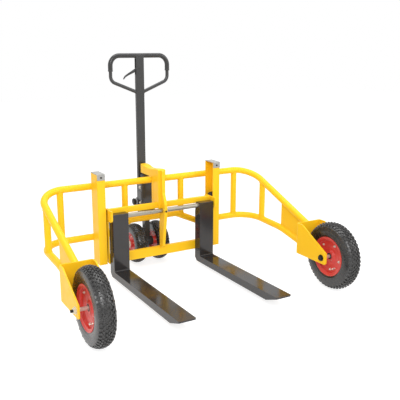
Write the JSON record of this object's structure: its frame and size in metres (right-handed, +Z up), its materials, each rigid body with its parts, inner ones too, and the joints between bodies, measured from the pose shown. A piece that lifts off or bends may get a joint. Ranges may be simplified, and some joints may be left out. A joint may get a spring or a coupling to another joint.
{
  "type": "all-terrain pallet jack",
  "caption": "Hand pallet jack for rough ground: pipe-frame outriggers on big knobby wheels, channel masts, hung forks and a steered hydraulic pump with a tall loop handle.",
  "frame": {"origin": "middle of the footprint, on the floor", "axes": "+X across the truck, the forks point along -Y, +Z up"},
  "size_m": [1.751, 1.338, 1.381],
  "materials": {
    "yellow_paint": "satin",
    "grey_cap": "satin",
    "black_oxide": "matte",
    "zinc": "satin",
    "bright_steel": "satin",
    "bronze": "satin",
    "black_gloss": "gloss",
    "tyre_rubber": "matte",
    "red_paint": "satin",
    "charcoal_paint": "satin",
    "grip_rubber": "matte"
  },
  "bodies": {
    "frame": {"left_mast": "yellow_paint", "right_mast": "yellow_paint", "mast_caps": "grey_cap", "cap_screws": "black_oxide", "centre_top_rail": "yellow_paint", "left_top_rail": "yellow_paint", "right_top_rail": "yellow_paint", "centre_lower_rail": "yellow_paint", "left_lower_rail": "yellow_paint", "right_lower_rail": "yellow_paint", "rail_balusters": "yellow_paint", "web_plates": "yellow_paint", "left_wheel_bracket": "yellow_paint", "right_wheel_bracket": "yellow_paint", "front_axles": "black_oxide", "axle_spacers": "zinc", "pump_bracket": "yellow_paint", "steer_bush": "bronze"},
    "carriage": {"carriage_side_plates": "yellow_paint", "roller_pins": "bright_steel", "fork_shaft": "bright_steel", "upper_bars": "yellow_paint", "lower_bar": "yellow_paint", "centre_post": "yellow_paint", "lift_arm": "yellow_paint", "centre_fin": "yellow_paint"},
    "steer_unit": {"pump_casting": "charcoal_paint", "steer_axle": "zinc", "handle_pivot_pin": "black_oxide"},
    "ram": {"lift_ram": "bright_steel"},
    "plunger": {"pump_plunger": "bright_steel"},
    "handle": {"handle_shaft": "charcoal_paint", "handle_loop": "charcoal_paint", "handle_grips": "grip_rubber", "drive_roller_pin": "bright_steel", "lever_pin": "black_oxide"},
    "handle_roller": {"drive_roller": "bright_steel"},
    "lever": {"control_lever": "charcoal_paint"},
    "rod": {"control_rod": "bright_steel"},
    "left_fork_slide": {"left_fork_bush": "bronze"},
    "left_fork": {"left_fork": "black_gloss"},
    "left_front_wheel": {"left_front_tyre": "tyre_rubber", "left_front_rim": "red_paint", "left_front_hub": "bright_steel", "left_rim_bolts": "zinc"},
    "left_steer_wheel": {"left_steer_tyre": "tyre_rubber", "left_steer_rim": "red_paint"},
    "left_lower_roller": {"left_lower_roller": "black_oxide"},
    "left_upper_roller": {"left_upper_roller": "black_oxide"},
    "right_fork_slide": {"right_fork_bush": "bronze"},
    "right_fork": {"right_fork": "black_gloss"},
    "right_front_wheel": {"right_front_tyre": "tyre_rubber", "right_front_rim": "red_paint", "right_front_hub": "bright_steel", "right_rim_bolts": "zinc"},
    "right_steer_wheel": {"right_steer_tyre": "tyre_rubber", "right_steer_rim": "red_paint"},
    "right_lower_roller": {"right_lower_roller": "black_oxide"},
    "right_upper_roller": {"right_upper_roller": "black_oxide"}
  },
  "joints": [
    {"name": "lift", "type": "slide", "parent": "frame", "child": "carriage", "axis": [0, 0, 1], "range_m": [0, 0.18]},
    {"name": "steer", "type": "hinge", "parent": "frame", "child": "steer_unit", "pos_m": [0, 0.536, 0.3275], "axis": [0, 0, 1], "range_deg": [-90, 90]},
    {"name": "ram_stroke", "type": "slide", "parent": "steer_unit", "child": "ram", "axis": [0, 0, 1], "range_m": [0, 0.18]},
    {"name": "handle_tilt", "type": "hinge", "parent": "steer_unit", "child": "handle", "pos_m": [0, 0.593, 0.405], "axis": [-1, 0, 0], "range_deg": [0, 70], "stiffness_Nm_per_rad": 60, "springref_deg": -14.32},
    {"name": "plunger_stroke", "type": "slide", "parent": "steer_unit", "child": "plunger", "axis": [0, 0, 1], "range_m": [-0.034, 0]},
    {"name": "handle_roller_spin", "type": "hinge", "parent": "handle", "child": "handle_roller", "pos_m": [0, 0.618, 0.417], "axis": [1, 0, 0], "continuous": true},
    {"name": "lever_turn", "type": "hinge", "parent": "handle", "child": "lever", "pos_m": [-0.008, 0.593, 1.282], "axis": [0, 1, 0], "range_deg": [-15, 15], "stiffness_Nm_per_rad": 3},
    {"name": "rod_stroke", "type": "slide", "parent": "handle", "child": "rod", "axis": [0, 0, 1], "range_m": [-0.005, 0.005]},
    {"name": "left_fork_spread", "type": "slide", "parent": "carriage", "child": "left_fork_slide", "axis": [1, 0, 0], "range_m": [0, 0.2]},
    {"name": "left_fork_tilt", "type": "hinge", "parent": "left_fork_slide", "child": "left_fork", "pos_m": [-0.305, 0.273, 0.411], "axis": [-1, 0, 0], "range_deg": [0, 40]},
    {"name": "left_front_wheel_spin", "type": "hinge", "parent": "frame", "child": "left_front_wheel", "pos_m": [-0.7575, -0.466, 0.203], "axis": [1, 0, 0], "continuous": true},
    {"name": "left_steer_wheel_spin", "type": "hinge", "parent": "steer_unit", "child": "left_steer_wheel", "pos_m": [-0.082, 0.536, 0.133], "axis": [1, 0, 0], "continuous": true},
    {"name": "left_lower_roller_spin", "type": "hinge", "parent": "carriage", "child": "left_lower_roller", "pos_m": [-0.4, 0.3438, 0.2], "axis": [1, 0, 0], "continuous": true},
    {"name": "left_upper_roller_spin", "type": "hinge", "parent": "carriage", "child": "left_upper_roller", "pos_m": [-0.4, 0.3438, 0.426], "axis": [1, 0, 0], "continuous": true},
    {"name": "right_fork_spread", "type": "slide", "parent": "carriage", "child": "right_fork_slide", "axis": [-1, 0, 0], "range_m": [0, 0.2]},
    {"name": "right_fork_tilt", "type": "hinge", "parent": "right_fork_slide", "child": "right_fork", "pos_m": [0.305, 0.273, 0.411], "axis": [-1, 0, 0], "range_deg": [0, 40]},
    {"name": "right_front_wheel_spin", "type": "hinge", "parent": "frame", "child": "right_front_wheel", "pos_m": [0.7575, -0.466, 0.203], "axis": [1, 0, 0], "continuous": true},
    {"name": "right_steer_wheel_spin", "type": "hinge", "parent": "steer_unit", "child": "right_steer_wheel", "pos_m": [0.082, 0.536, 0.133], "axis": [1, 0, 0], "continuous": true},
    {"name": "right_lower_roller_spin", "type": "hinge", "parent": "carriage", "child": "right_lower_roller", "pos_m": [0.4, 0.3438, 0.2], "axis": [1, 0, 0], "continuous": true},
    {"name": "right_upper_roller_spin", "type": "hinge", "parent": "carriage", "child": "right_upper_roller", "pos_m": [0.4, 0.3438, 0.426], "axis": [1, 0, 0], "continuous": true}
  ],
  "couplings": [
    {"joint": "ram_stroke", "follows": "lift", "ratio": 1},
    {"joint": "plunger_stroke", "follows": "handle_tilt", "m_per_rad": -0.0275},
    {"joint": "rod_stroke", "follows": "lever_turn", "m_per_rad": -0.0174}
  ]
}
